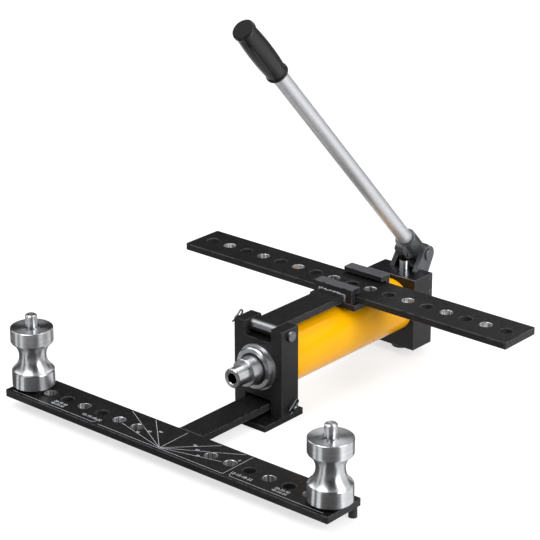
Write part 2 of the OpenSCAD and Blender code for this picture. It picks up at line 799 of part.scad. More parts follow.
// Support plate under the upper bar
support_w = 98;
hook_rear_y = upper_y + upper_bar_w / 2 + guide_gap + wall_t;
module support_plate() {
    y0 = hook_front_y - plate_over;
    color(black) translate([0, (y0 + hook_rear_y) / 2, support_z])
        plate([support_w, hook_rear_y - y0, support_t], edge);
}

// Hook rails: a wall on the support plate and a lip over the bar's edge
hook_len = 82;
lip_w = 22;
lip_t = 9;
lip_gap = 3.5;
module hook() {
    lip_z = upper_top + lip_gap - support_top;
    rotate([90, 0, 90]) linear_extrude(hook_len, center = true)
        polygon([[0, 0], [wall_t, 0], [wall_t, lip_z], [lip_w - edge, lip_z], [lip_w, lip_z + edge],
            [lip_w, lip_z + lip_t - edge], [lip_w - edge, lip_z + lip_t], [edge, lip_z + lip_t],
            [0, lip_z + lip_t - edge]]);
}
module hook_front() {
    color(black) translate([0, hook_front_y, support_top]) hook();
}
module hook_rear() {
    color(black) translate([0, hook_rear_y, support_top]) mirror([0, 1, 0]) hook();
}

// Upper bar with its full row of holes
module upper_bar() {
    color(black) translate([0, upper_y, upper_bar_z]) difference() {
        plate([upper_bar_len, upper_bar_w, bar_t]);
        for (n = [-holes_each_side : holes_each_side])
            translate([n * hole_pitch, 0, 0]) mouth_hole(hole_d, bar_t);
    }
}

// Grooved roller, turned about its pin
groove_edge = 1.5;
rim_edge = 1;
module roller(side) {
    r = roller_d / 2;
    centre = waist_d / 2 + groove_r;
    half = sqrt(pow(groove_r, 2) - pow(centre - r, 2));
    color(steel) translate([side * roller_x, bar_y, roller_z]) difference() {
        rotate_extrude($fn = 96) difference() {
            polygon([[0, 0], [r - rim_edge, 0], [r, rim_edge], [r, groove_rise - half - groove_edge],
                [r - groove_edge, groove_rise - half + groove_edge],
                [r - groove_edge, groove_rise + half - groove_edge],
                [r, groove_rise + half + groove_edge], [r, roller_h - rim_edge],
                [r - rim_edge, roller_h], [0, roller_h]]);
            translate([centre, groove_rise]) circle(groove_r, $fn = 96);
        }
        translate([0, 0, -cut]) cylinder(d = roller_pin_d + 2 * fit, h = roller_h + 2 * cut);
    }
}
module roller_left() { roller(-1); }
module roller_right() { roller(1); }

// Roller pin: fixed in the bar, grooved for its ring, chamfered at the top
stub_edge = 2;
ring_groove = 1;
ring_d = 33;
module roller_pin(side) {
    h = roller_top + stub_h - lower_bar_z;
    color(steel) translate([side * roller_x, bar_y, lower_bar_z]) difference() {
        chamfered_rod(roller_pin_d, h, stub_edge);
        translate([0, 0, roller_top + gap - lower_bar_z - fit])
            ring(roller_pin_d + cut, roller_pin_d - 2 * ring_groove, ring_t + 2 * fit);
    }
}
module roller_pin_left() { roller_pin(-1); }
module roller_pin_right() { roller_pin(1); }
washer_d = 46;
module thrust_washers() {
    color(steel) for (side = [-1, 1]) translate([side * roller_x, bar_y, lower_top])
        ring(washer_d, roller_pin_d + 2 * fit, washer_t);
}

// Retaining rings with two lugs at their opening
lug_d = 7;
opening_w = 6;
module retaining_rings() {
    bore = roller_pin_d - 2 * ring_groove + 2 * fit;
    rim = roller_pin_d + 7;
    color(steel) for (side = [-1, 1]) translate([side * roller_x, bar_y, roller_top + gap]) difference() {
        union() {
            cylinder(d = rim, h = ring_t);
            for (s = [-1, 1]) translate([s * (opening_w / 2 + lug_d / 2 - edge), -ring_d / 2 + lug_d / 2 - edge, 0])
                cylinder(d = lug_d, h = ring_t, $fn = 24);
        }
        translate([0, 0, -cut]) cylinder(d = bore, h = ring_t + 2 * cut);
        translate([-opening_w / 2, -ring_d, -cut]) cube([opening_w, ring_d, ring_t + 2 * cut]);
    }
}

lower_frame();
front_feet();
base_plate();
base_screws();
head_block();
lower_pin();
lower_pin_clip();
upper_pin();
upper_pin_clip();
cylinder_tube();
gland_nut();
rod_wiper();
ram();
piston();
piston_seal();
piston_nut();
pump_block();
rear_foot();
filler_plug();
release_valve();
plunger_gland();
plunger();
plunger_pin();
cheek_left();
cheek_right();
cheek_screws();
fulcrum_pin();
lever_socket();
set_screw();
lever_tube();
lever_grip();
upper_stem();
support_plate();
hook_front();
hook_rear();
upper_bar();
roller_left();
roller_right();
roller_pin_left();
roller_pin_right();
thrust_washers();
retaining_rings();
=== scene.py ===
"""Looks of the hydraulic pipe bender: a solved camera, plain studio light, and a finish on every piece."""
import math

import bmesh
import bpy
from mathutils import Matrix, Vector


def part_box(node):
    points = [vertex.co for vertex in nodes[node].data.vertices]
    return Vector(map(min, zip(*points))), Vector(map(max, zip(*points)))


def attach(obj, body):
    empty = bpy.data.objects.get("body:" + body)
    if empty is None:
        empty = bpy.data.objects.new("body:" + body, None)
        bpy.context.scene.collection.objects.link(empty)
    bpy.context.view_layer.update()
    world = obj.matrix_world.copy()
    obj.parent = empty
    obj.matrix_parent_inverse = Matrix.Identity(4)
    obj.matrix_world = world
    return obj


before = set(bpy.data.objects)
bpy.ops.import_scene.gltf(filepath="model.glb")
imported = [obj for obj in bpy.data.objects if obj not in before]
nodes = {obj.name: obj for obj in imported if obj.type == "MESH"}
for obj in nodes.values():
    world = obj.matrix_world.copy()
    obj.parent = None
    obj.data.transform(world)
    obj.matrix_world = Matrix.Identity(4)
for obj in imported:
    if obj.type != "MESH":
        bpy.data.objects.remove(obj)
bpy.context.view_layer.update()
MM = 0.001
scene = bpy.context.scene

# Camera: stands in front and to the right of the machine, a little above it.
# Its place was solved from the straight edges of the two bars and the round holes in them.
roller_low, roller_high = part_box("roller_right")
bar_row_y = (roller_low.y + roller_high.y) / 2
bar_top_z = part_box("thrust_washers")[0].z
turn_deg, rise_deg, roll_deg = 40.6539, 21.53, -0.1116
camera_distance = 3350.807 * MM
focal_px, frame_px = 2111.2596, 540
middle_px = (173.7244, 440.7289)
sensor_mm = 36
farthest_seen = 60

turn, rise, roll = (math.radians(v) for v in (turn_deg, rise_deg, roll_deg))
back = Vector((math.sin(turn) * math.cos(rise), -math.cos(turn) * math.cos(rise), math.sin(rise)))
level = Vector((math.cos(turn), math.sin(turn), 0))
upright = back.cross(level)
right = level * math.cos(roll) + upright * math.sin(roll)
up = upright * math.cos(roll) - level * math.sin(roll)
aim = Vector((0, bar_row_y, bar_top_z))
place = aim + back * camera_distance
place -= right * ((middle_px[0] - frame_px / 2) * camera_distance / focal_px)
place -= up * ((frame_px / 2 - middle_px[1]) * camera_distance / focal_px)
camera_data = bpy.data.cameras.new("camera")
camera_data.sensor_width = sensor_mm
camera_data.lens = focal_px / frame_px * sensor_mm
camera_data.clip_end = farthest_seen
camera = bpy.data.objects.new("camera", camera_data)
scene.collection.objects.link(camera)
camera.matrix_world = Matrix.Translation(place) @ Matrix((right, up, back)).transposed().to_4x4()
scene.camera = camera

# Studio: a white floor that keeps a soft shadow, a white surround, and large soft lamps overhead.
# Dark cards round the table, which only reflections see, give the bare metal its dark bands.
scene.view_settings.view_transform = "Standard"
fill_level, seen_level, floor_glow = 0.54, 1.0, 0.66
floor_hex, floor_half = "#a9a9a9", 14.0


def linear(hex_colour):
    """Turns an sRGB hex value into the linear colour that Blender's sockets take."""
    parts = [int(hex_colour[i:i + 2], 16) / 255 for i in (1, 3, 5)]
    return tuple(p / 12.92 if p <= 0.04045 else ((p + 0.055) / 1.055) ** 2.4 for p in parts) + (1.0,)


def add(tree, kind, *first, out=0, **settings):
    """Adds a node and returns one of its outputs, or the node where it has none. Values and sockets fill its
    inputs in order, by name, or by number as in _6. Every other setting is a property of the node."""
    node = tree.nodes.new(kind if "Node" in kind else "ShaderNode" + kind)
    inputs = dict(enumerate(first))
    for name, value in settings.items():
        spaced = name.replace("_", " ")
        if name[1:].isdigit():
            inputs[int(name[1:])] = value
        elif spaced in node.inputs:
            inputs[spaced] = value
        else:
            setattr(node, name, value)
    for key, value in inputs.items():
        if isinstance(value, bpy.types.NodeSocket):
            tree.links.new(node.inputs[key], value)
        else:
            node.inputs[key].default_value = value
    return node.outputs[out] if len(node.outputs) else node


def seen_directly(tree):
    """One where the camera, a reflection or clear glass looks, and nought for light on the object."""
    rays = add(tree, "LightPath").node.outputs
    seen = add(tree, "Math", rays["Is Camera Ray"], rays["Is Glossy Ray"], operation="ADD", use_clamp=True)
    return add(tree, "Math", seen, rays["Is Transmission Ray"], operation="ADD", use_clamp=True)


def new_material(name):
    """Starts a material with an empty tree."""
    made = bpy.data.materials.new(name)
    made.use_nodes = True
    made.node_tree.nodes.clear()
    return made, made.node_tree


def mesh_object(name, mesh):
    """Links a mesh as an object at the origin."""
    piece = bpy.data.objects.new(name, mesh)
    scene.collection.objects.link(piece)
    return piece


white, unlit = linear("#ffffff"), linear("#000000")
surround = bpy.data.worlds.new("studio")
scene.world = surround
surround.use_nodes = True
tree = surround.node_tree
tree.nodes.clear()
fill = add(tree, "Background", Color=white, Strength=fill_level)
backdrop = add(tree, "Background", Color=white, Strength=seen_level)
add(tree, "OutputWorld", add(tree, "MixShader", seen_directly(tree), fill, backdrop))

floor_mesh = bpy.data.meshes.new("floor")
floor_mesh.from_pydata([(x * floor_half, y * floor_half, 0) for x, y in ((-1, -1), (1, -1), (1, 1), (-1, 1))],
                       [], [(0, 1, 2, 3)])
floor = mesh_object("floor", floor_mesh)
# Matt paper takes the shadow as grey, and is lifted to white only where it is looked at
paper, tree = new_material("white_paper_floor")
matt = add(tree, "BsdfDiffuse", Color=linear(floor_hex))
glow = add(tree, "Emission", Color=white, Strength=floor_glow)
dark = add(tree, "Emission", Color=unlit, Strength=0.0)
lifted = add(tree, "MixShader", seen_directly(tree), dark, glow)
add(tree, "OutputMaterial", add(tree, "AddShader", matt, lifted))
floor.data.materials.append(paper)

# Even grey card: it shows only as a soft dark band in metal. The one behind the machine is darkest,
# since the flat tops mirror it.
far_hex, behind_hex, table_hex = "#343434", "#141414", "#5a5a5a"
card_greys = {}
for tone in (far_hex, behind_hex, table_hex):
    card_greys[tone], tree = new_material("grey_card")
    add(tree, "OutputMaterial", add(tree, "Emission", Color=linear(tone), Strength=1.0))


def reflected_card(name, verts, faces, tone):
    """Makes a card that only reflections see: it casts no shadow and takes no light."""
    mesh = bpy.data.meshes.new(name)
    mesh.from_pydata(verts, [], faces)
    card = mesh_object(name, mesh)
    card.data.materials.append(card_greys[tone])
    card.visible_camera = card.visible_diffuse = card.visible_shadow = card.visible_transmission = False


def bearings(start, end):
    """Directions from start to end, both in degrees, in even steps."""
    steps = 12
    return [math.radians(start + (end - start) * i / steps) for i in range(steps + 1)]


# Each far card: start and end bearing in degrees, tone, and upper edge in metres.
# It starts on the floor near the machine, runs outwards and stands up at its far end.
far_cards = [(70, 98, far_hex, 4.4), (104, 160, behind_hex, 4.4), (166, 222, far_hex, 4.4),
             (236, 250, far_hex, 4.4), (272, 352, far_hex, 11.0)]
card_reach, card_radius, card_lift = 1.0, 4.6, 1 * MM
for number, (start, end, tone, top) in enumerate(far_cards):
    verts = [(reach * math.cos(b), reach * math.sin(b), z) for b in bearings(start, end)
             for reach, z in ((card_reach, card_lift), (card_radius, card_lift), (card_radius, top))]
    faces = [(i + k, i + 3 + k, i + 4 + k, i + 1 + k) for i in range(0, len(verts) - 3, 3) for k in (0, 1)]
    reflected_card("card_%d" % number, verts, faces, tone)

# Cards laid on the table round each roller: start and end bearing of each wedge in degrees
table_wedges = [(236, 250), (268, 356), (72, 98), (104, 222)]
table_reach, table_lift = 0.42, 0.4 * MM
for side in (-1, 1):
    hub = Vector((side * (roller_low.x + roller_high.x) / 2, bar_row_y, table_lift))
    for number, (start, end) in enumerate(table_wedges):
        rim = [hub + Vector((math.cos(b), math.sin(b), 0)) * table_reach for b in bearings(start, end)]
        reflected_card("table_card_%d_%d" % (side + 1, number), [hub] + rim,
                       [(0, i, i + 1) for i in range(1, len(rim))], table_hex)

# Each lamp: place and aim in metres, width in metres, and power in watts
lamps = [((-0.45, -1.85, 3.2), (0, 0, 0.2), 2.4, 60), ((2.6, 0.6, 2.4), (0, 0, 0.2), 1.8, 36),
         ((-2.4, -0.4, 2.2), (0, 0, 0.2), 1.8, 26), ((-0.6, 2.6, 2.8), (0, 0, 0.2), 2.2, 30),
         ((2.9, -0.2, 0.9), (0, 0, 0.12), 1.5, 52)]
for number, (spot, target, size, power) in enumerate(lamps):
    lamp = bpy.data.lights.new("soft_lamp_%d" % number, "AREA")
    lamp.shape, lamp.size, lamp.energy = "DISK", size, power
    holder = bpy.data.objects.new("soft_lamp_%d" % number, lamp)
    scene.collection.objects.link(holder)
    holder.location = spot
    holder.rotation_euler = (Vector(target) - Vector(spot)).to_track_quat("-Z", "Y").to_euler()

# Lower frame: a drilled flat bar with a stem welded to its middle, in mild steel.
# It has a satin black powder coat, some of its bores are left bright, and its edges are painted lighter,
# partly rubbed and partly a painted highlight.
# Flat tops are painted darker than the upright faces with these tones: painted shade
painted_shade_top_hex, painted_shade_top_cloud_hex = "#050506", "#0c0c0d"
side_black_hex, side_cloud_hex = "#171718", "#2a2a2c"
speck_hex, speck_strength = "#3c3c3e", 0.34
# Lighter edges, partly rubbed and partly a painted highlight: their tone, width and metal
rub_and_glint_hex, rub_and_glint_edge, rub_and_glint_metal = "#8d8e91", 1.4 * MM, 0.6
bore_hex, dull_bore_hex, bore_metal, bore_gloss = "#dcdddf", "#77787a", 0.8, 0.16
# Noise above the first makes a lighter stretch of edge, partly rubbed and partly a painted highlight, and a
# normal that rises above the second a flat top, painted darker as shade
rub_and_glint_from, painted_light_top_from = 0.44, 0.9
pitch, bore_radius = 40 * MM, 11.0 * MM
first_hole, last_hole = 2, 7
# Settings with which a Mix node blends two colours, given as its inputs 6 and 7
of_colours = {"data_type": "RGBA", "out": 2}


def per(size_mm):
    """Pattern scale from the real size of its marks in millimetres."""
    return 1 / (size_mm * MM)


def edge_mask(tree, radius):
    """One near an outer or inner edge, nought on a plain face."""
    rounded = add(tree, "Bevel", Radius=radius, samples=4)
    facing = add(tree, "NewGeometry", out="Normal")
    same = add(tree, "VectorMath", rounded, facing, operation="DOT_PRODUCT", out="Value")
    away = add(tree, "Math", 1.0, same, operation="SUBTRACT")
    return add(tree, "MapRange", away, From_Min=0.01, From_Max=0.16)


def bare_bores(tree, place, row_y, lowest, bright_too):
    """One in those bores of a hole row that are bare: counted from the middle, their number is odd or in
    bright_too, and not under lowest."""
    split = add(tree, "SeparateXYZ", place).node.outputs
    number = add(tree, "Math", add(tree, "Math", split["X"], pitch, operation="DIVIDE"), operation="ROUND")
    hole_x = add(tree, "Math", number, pitch, operation="MULTIPLY")
    off_x = add(tree, "Math", split["X"], hole_x, operation="SUBTRACT")
    off_y = add(tree, "Math", split["Y"], row_y, operation="SUBTRACT")
    off = add(tree, "VectorMath", add(tree, "CombineXYZ", off_x, off_y), operation="LENGTH", out="Value")
    inside = add(tree, "Math", off, bore_radius, operation="LESS_THAN")
    number = add(tree, "Math", number, operation="ABSOLUTE")
    drilled = add(tree, "Math", number, lowest - 0.5, operation="GREATER_THAN")
    inside = add(tree, "Math", inside, drilled, operation="MULTIPLY")
    wanted = add(tree, "Math", number, 2.0, operation="MODULO")
    for extra in bright_too:
        same = add(tree, "Math", number, float(extra), 0.5, operation="COMPARE")
        wanted = add(tree, "Math", wanted, same, operation="MAXIMUM")
    return add(tree, "Math", inside, wanted, operation="MULTIPLY")


def coated_black(name, row_y=None, lowest=0, bright_too=(), top_handling_and_sheen_hex=None, rub_and_glint_strength=0.5):
    """Satin black powder coat: a fine leathery grain, a faint cloudy sheen, and edges painted lighter, partly
    rubbed and partly a painted highlight. Flat tops are painted darker as painted shade, unless a top tone is
    given. Where a row of holes is given, some of its bores show bare drilled steel."""
    made, tree = new_material(name)
    place = add(tree, "TexCoord", out="Object")
    # Coating gathers in clouds about 55 mm wide
    cloud = add(tree, "TexNoise", place, Scale=per(55.6), Detail=4.0, Roughness=0.6)
    # Powder grain is about 0.3 mm; drawn at 3 mm so that it shows
    grain = add(tree, "TexNoise", place, Scale=per(3.03), Detail=4.0, Roughness=0.75)
    # Edges are painted lighter in stretches of about 11 mm, partly rubbed and partly a painted highlight
    stretch = add(tree, "TexNoise", place, Scale=per(11.11), Detail=5.0)
    stretch = add(tree, "Math", stretch, rub_and_glint_from, operation="GREATER_THAN")
    rub_and_glint = add(tree, "Math", edge_mask(tree, rub_and_glint_edge), stretch, operation="MULTIPLY")
    rub_and_glint = add(tree, "Math", rub_and_glint, rub_and_glint_strength, operation="MULTIPLY")
    # Painted shade: flat tops are painted darker than the upright faces, unless a top tone is given
    facing_up = add(tree, "SeparateXYZ", add(tree, "TexCoord", out="Normal"), out="Z")
    painted_light_top_mask = add(tree, "Math", facing_up, painted_light_top_from, operation="GREATER_THAN")
    sides = add(tree, "Mix", cloud, _6=linear(side_black_hex), _7=linear(side_cloud_hex), **of_colours)
    tops = linear(top_handling_and_sheen_hex) if top_handling_and_sheen_hex else add(tree, "Mix", cloud, _6=linear(painted_shade_top_hex),
                                               _7=linear(painted_shade_top_cloud_hex), **of_colours)
    colour = add(tree, "Mix", painted_light_top_mask, _6=sides, _7=tops, **of_colours)
    speck = add(tree, "MapRange", grain, From_Min=0.48, From_Max=0.64, To_Max=speck_strength)
    colour = add(tree, "Mix", speck, _6=colour, _7=linear(speck_hex), **of_colours)
    colour = add(tree, "Mix", rub_and_glint, _6=colour, _7=linear(rub_and_glint_hex), **of_colours)
    rough = add(tree, "MapRange", cloud, To_Min=0.38, To_Max=0.54)
    metal = add(tree, "Math", rub_and_glint, rub_and_glint_metal, operation="MULTIPLY")
    if row_y is not None:
        bore = bare_bores(tree, place, row_y, lowest, bright_too)
        # The drill leaves bright and dull strips down the bore, about 3 mm wide
        strips = add(tree, "Mapping", place, Scale=(per(3.03), per(3.03), per(83.3)))
        strips = add(tree, "TexNoise", strips, Scale=1.0, Detail=2.0)
        strips = add(tree, "MapRange", strips, From_Min=0.38, From_Max=0.62)
        bare = add(tree, "Mix", strips, _6=linear(dull_bore_hex), _7=linear(bore_hex), **of_colours)
        colour = add(tree, "Mix", bore, _6=colour, _7=bare, **of_colours)
        bare_metal = add(tree, "Math", bore, bore_metal, operation="MULTIPLY")
        metal = add(tree, "Math", metal, bare_metal, operation="MAXIMUM")
        smoother = add(tree, "Math", bore, bore_gloss, operation="MULTIPLY")
        rough = add(tree, "Math", rough, smoother, operation="SUBTRACT")
    bump = add(tree, "Bump", Height=grain, Strength=0.25, Distance=0.06 * MM)
    shader = add(tree, "BsdfPrincipled", Base_Color=colour, Roughness=rough, Metallic=metal, Normal=bump,
                 Specular_IOR_Level=0.16)
    add(tree, "OutputMaterial", shader)
    return made


def finish_node(name, made):
    """Gives a CAD node its material."""
    mesh = nodes[name].data
    mesh.materials.clear()
    mesh.materials.append(made)


black = coated_black("satin_black_powder_coat")
finish_node("lower_frame",
            coated_black("satin_black_powder_coat_drilled_lower_bar", bar_row_y, first_hole, [first_hole]))

# Bend scale: a protractor fan and pipe sizes, engraved in the lower bar and filled with pale paint.
# The fan's rays show the bend angle against the pipe, and the numbers by the holes give pipe sizes.
scale_lift = 0.08 * MM
# Real engraving is about 0.4 mm wide; drawn a little wider so that it shows
line_width = 0.65 * MM
dash, mouth_margin = 1.5 * MM, 0.9 * MM
fan = Vector((-0.3, -32.9)) * MM
ray_ends = [(-126.5, 36.7), (-73.8, 37.0), (-1.7, 35.3), (69.7, 36.3), (120.6, 36.6), (-107.9, -6.8),
            (109.4, -5.0)]
other_lines = [((135.0, -34.0), (135.0, 37.0)), ((-134.8, -34.9), (135.0, -34.9)),
               ((-334.0, -34.2), (-149.0, -34.2)), ((-149.0, -34.2), (-145.6, -31.4)),
               ((-145.6, -31.4), (-145.6, -26.4)), ((334.0, -34.2), (149.0, -34.2)),
               ((149.0, -34.2), (145.6, -31.4)), ((145.6, -31.4), (145.6, -26.4))]
# Bend angles in degrees, and pipe sizes in millimetres by the holes that they use: words, place, height
labels = [("30", -65.8, -14.5, 5.5), ("60", -52.4, -0.7, 5.5), ("90", -37.7, 9.4, 5.5),
          ("90", 37.2, 9.3, 5.5), ("60", 51.0, 0.1, 5.5), ("30", 64.5, -14.6, 5.5), ("0", 126.0, 15.0, 5.5),
          ("12-15-18-22", -161.0, -23.0, 6.5), ("12-15-18-22", 163.0, -23.0, 6.5),
          ("28-35-42", -238.0, -17.5, 6.0), ("48-54-60", -238.0, -25.5, 6.0),
          ("28-35-42", 241.0, -17.5, 6.0), ("48-54-60", 241.0, -25.5, 6.0)]
# Blender's letters are lower than their size, by this much
size_per_height = 1.35
same_place = 1e-7
# Enamel line fill: pale and matt, worn greyer in spots about 4 mm wide
scale_paint, tree = new_material("pale_enamel_line_fill")
spots = add(tree, "TexNoise", add(tree, "TexCoord", out="Object"), Scale=per(3.846), Detail=3.0)
tone = add(tree, "Mix", spots, _6=linear("#a4a6a9"), _7=linear("#d0d2d5"), **of_colours)
shader = add(tree, "BsdfPrincipled", Base_Color=tone, Roughness=0.55)
add(tree, "OutputMaterial", shader)

scale_mesh = bmesh.new()


def strip(a, b, width):
    """Thin box from a to b on the bar's top, for one engraved line."""
    run = (b - a).normalized()
    side = Vector((-run.y, run.x)) * width / 2
    corners = [a - side, b - side, b + side, a + side]
    ring = [[scale_mesh.verts.new((c.x, c.y + bar_row_y, bar_top_z + z)) for c in corners]
            for z in (-scale_lift, scale_lift)]
    scale_mesh.faces.new(ring[1])
    scale_mesh.faces.new(ring[0][::-1])
    for i in range(4):
        j = (i + 1) % 4
        scale_mesh.faces.new((ring[0][i], ring[0][j], ring[1][j], ring[1][i]))


def engrave(start, end):
    """Draws one line in short steps and leaves out what falls in a hole's mouth."""
    steps = max(2, int((end - start).length / dash))
    drawn = []
    for i in range(steps + 1):
        point = start.lerp(end, i / steps)
        in_hole = any((point - Vector((side * n * pitch, 0))).length < bore_radius + mouth_margin
                      for n in range(first_hole, last_hole + 1) for side in (-1, 1))
        if not in_hole:
            drawn.append(point)
        if (in_hole or i == steps) and len(drawn) > 1:
            strip(drawn[0], drawn[-1], line_width)
        if in_hole:
            drawn = []


for end in ray_ends:
    engrave(fan, Vector(end) * MM)
for start, end in other_lines:
    engrave(Vector(start) * MM, Vector(end) * MM)
fan_lines = bpy.data.meshes.new("bend_scale_lines")
scale_mesh.to_mesh(fan_lines)
scale_mesh.free()
fan_piece = mesh_object("bend_scale_lines", fan_lines)
fan_piece.data.materials.append(scale_paint)
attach(fan_piece, "base")

numbers = bmesh.new()
for words, x, y, height in labels:
    text = bpy.data.curves.new("label", "FONT")
    text.body, text.size = words, height * MM * size_per_height
    text.align_x, text.align_y = "CENTER", "CENTER"
    text.extrude, text.resolution_u = scale_lift, 2
    holder = bpy.data.objects.new("label", text)
    scene.collection.objects.link(holder)
    bpy.context.view_layer.update()
    flat = bpy.data.meshes.new_from_object(holder.evaluated_get(bpy.context.evaluated_depsgraph_get()))
    flat.transform(Matrix.Translation((x * MM, bar_row_y + y * MM, bar_top_z)))
    numbers.from_mesh(flat)
    bpy.data.objects.remove(holder)
    bpy.data.meshes.remove(flat)
bmesh.ops.remove_doubles(numbers, verts=numbers.verts, dist=same_place)
number_mesh = bpy.data.meshes.new("bend_scale_numbers")
numbers.to_mesh(number_mesh)
numbers.free()
number_piece = mesh_object("bend_scale_numbers", number_mesh)
number_piece.data.materials.append(scale_paint)
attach(number_piece, "base")

# Rubber feet, wiper and seal: moulded black rubber. The feet are screwed to the bar and the pump block,
# and hold the machine level on a bench.


def moulded_rubber(name, tone_hex, roughness, grain_mm):
    """Moulded black rubber: a soft sheen, a fine mould grain and a little dust in its tone."""
    made, tree = new_material(name)
    place = add(tree, "TexCoord", out="Object")
    # Dust lies in patches about 17 mm wide; the mould's grain is given, drawn coarser than its 0.3 mm
    dust = add(tree, "TexNoise", place, Scale=per(16.67), Detail=5.0)
    grain = add(tree, "TexNoise", place, Scale=per(grain_mm), Detail=2.0)
    tone = add(tree, "Mix", dust, _6=linear(tone_hex), _7=linear("#151516"), **of_colours)
    bump = add(tree, "Bump", Height=grain, Strength=0.2, Distance=0.08 * MM)
    shader = add(tree, "BsdfPrincipled", Base_Color=tone, Roughness=roughness, Normal=bump,
                 Specular_IOR_Level=0.42)
    add(tree, "OutputMaterial", shader)
    return made


rubber = moulded_rubber("moulded_black_rubber", "#161617", 0.62, grain_mm=1.111)
for name in ("front_feet", "rear_foot", "rod_wiper", "piston_seal"):
    finish_node(name, rubber)

# Rollers: two grooved rollers turned from bare steel bar, each on a fixed pin with a thrust washer.
# The lathe leaves fine rings round the axis, which spread each highlight along the roller.
# Bores near the axis take this dark tone: painted shade inside the bore
tarnish_hex, tarnish_strength, bore_shade_hex = "#7b7a79", 0.25, "#19191a"


def turned_steel(name, centre, axis, dark_hex, light_hex, roughness, streak, shaded_within=0):
    """Bare turned steel: fine lathe rings about the given axis, and a faint cloudy tarnish.
    Each highlight is drawn out across the rings, so an upright roller shows upright streaks.
    A bore closer to the axis than the given radius is painted dark, as painted shade inside it."""
    made, tree = new_material(name)
    coords = add(tree, "TexCoord", out="Object")
    moved = add(tree, "Mapping", coords, Location=[-c for c in centre])
    along = add(tree, "SeparateXYZ", moved, out=axis)
    flat = add(tree, "VectorMath", moved, [float(s != axis) for s in "XYZ"], operation="MULTIPLY")
    radius = add(tree, "VectorMath", flat, operation="LENGTH", out="Value")
    rings = add(tree, "CombineXYZ", radius, along)
    # Feed marks are about 0.15 mm apart; drawn at 0.6 mm so that they show. Bands of them are 6 mm wide,
    # and the tarnish lies in clouds of 33 mm
    marks = add(tree, "TexNoise", rings, Scale=per(0.625), Detail=3.0, Roughness=0.7)
    bands = add(tree, "TexNoise", rings, Scale=per(6.25), Detail=3.0)
    cloud = add(tree, "TexNoise", coords, Scale=per(33.33), Detail=4.0)
    tone = add(tree, "Mix", bands, _6=linear(dark_hex), _7=linear(light_hex), **of_colours)
    tarnish = add(tree, "Math", cloud, tarnish_strength, operation="MULTIPLY")
    tone = add(tree, "Mix", tarnish, _6=tone, _7=linear(tarnish_hex), **of_colours)
    if shaded_within:
        bore = add(tree, "Math", radius, shaded_within, operation="LESS_THAN")
        tone = add(tree, "Mix", bore, _6=tone, _7=linear(bore_shade_hex), **of_colours)
    ring = add(tree, "VectorMath", [float(s == axis) for s in "XYZ"], moved, operation="CROSS_PRODUCT")
    across = add(tree, "VectorMath", ring, add(tree, "TexCoord", out="Normal"), operation="CROSS_PRODUCT")
    tangent = add(tree, "VectorTransform", across, vector_type="VECTOR", convert_from="OBJECT",
                  convert_to="WORLD")
    rough = add(tree, "MapRange", marks, To_Min=roughness - 0.04, To_Max=roughness + 0.06)
    bump = add(tree, "Bump", Height=marks, Strength=0.07, Distance=0.02 * MM)
    shader = add(tree, "BsdfPrincipled", Base_Color=tone, Metallic=1.0, Roughness=rough, Normal=bump,
                 Anisotropic=streak, Tangent=tangent)
    add(tree, "OutputMaterial", shader)
    return made


def cloudy_metal(name, patch_mm, detail, dark_hex, light_hex, roughness):
    """Metal whose tone shifts in small soft patches of the given width."""
    made, tree = new_material(name)
    cloud = add(tree, "TexNoise", add(tree, "TexCoord", out="Object"), Scale=per(patch_mm), Detail=detail)
    tone = add(tree, "Mix", cloud, _6=linear(dark_hex), _7=linear(light_hex), **of_colours)
    shader = add(tree, "BsdfPrincipled", Base_Color=tone, Metallic=1.0, Roughness=roughness)
    add(tree, "OutputMaterial", shader)
    return made


for side in ("left", "right"):
    low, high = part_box("roller_" + side)
    # Turned steel: bright satin with upright streaks
    steel = turned_steel("turned_steel_roller_" + side, ((low.x + high.x) / 2, bar_row_y, 0), "Z",
                         "#b0b1b4", "#d6d7da", 0.29, 0.8)
    finish_node("roller_" + side, steel)
    finish_node("roller_pin_" + side, steel)
# Ground steel: greyer than the rollers and even all round
finish_node("thrust_washers", cloudy_metal("ground_steel_washers", 8.333, 5.0, "#77787a", "#a9aaac", 0.34))

# Retaining rings and pin clips: spring steel, phosphated dark or left bright, and bent or stamped to shape.
# The rings sit in the roller pins' grooves, and the clips go through the hinge pins.
# Bright wire: silvery, with small glints along its bends
finish_node("retaining_rings", cloudy_metal("bright_spring_wire", 3.333, 4.0, "#7c7e82", "#b4b6b9", 0.3))
# Phosphated steel: dark grey with a dull metal glint
spring_steel = cloudy_metal("phosphated_spring_steel", 2.5, 4.0, "#3c3c3e", "#6e6f72", 0.36)
for name in ("upper_pin_clip", "lower_pin_clip"):
    finish_node(name, spring_steel)

# Base plate and head block: thick steel plates, coated black, that carry the cylinder's front end.
# Four zinc-plated screws come up through the plate into the head.
finish_node("base_plate", black)
finish_node("head_block", black)
# Zinc plating: pale and bluish, with a fine spangle about 1.4 mm wide
zinc, tree = new_material("zinc_plated_steel")
spangle = add(tree, "TexVoronoi", add(tree, "TexCoord", out="Object"), Scale=per(1.4286), out="Distance")
tone = add(tree, "Mix", spangle, _6=linear("#9a9da2"), _7=linear("#b9bcc0"), **of_colours)
shader = add(tree, "BsdfPrincipled", Base_Color=tone, Metallic=1.0, Roughness=0.38)
add(tree, "OutputMaterial", shader)
for name in ("base_screws", "piston_nut", "filler_plug"):
    finish_node(name, zinc)

# Hinge pins: turned steel pins across the head's two notches, blackened, with a flat round head.
# The upper frame swings on the upper one; the lower one holds the lower frame's stem.
# Blackened steel: a dark satin that still shows metal where it is handled
pin_steel = cloudy_metal("blackened_turned_steel", 4.545, 4.0, "#4a4a4d", "#8b8c90", 0.33)
for name in ("upper_pin", "lower_pin", "cheek_screws"):
    finish_node(name, pin_steel)

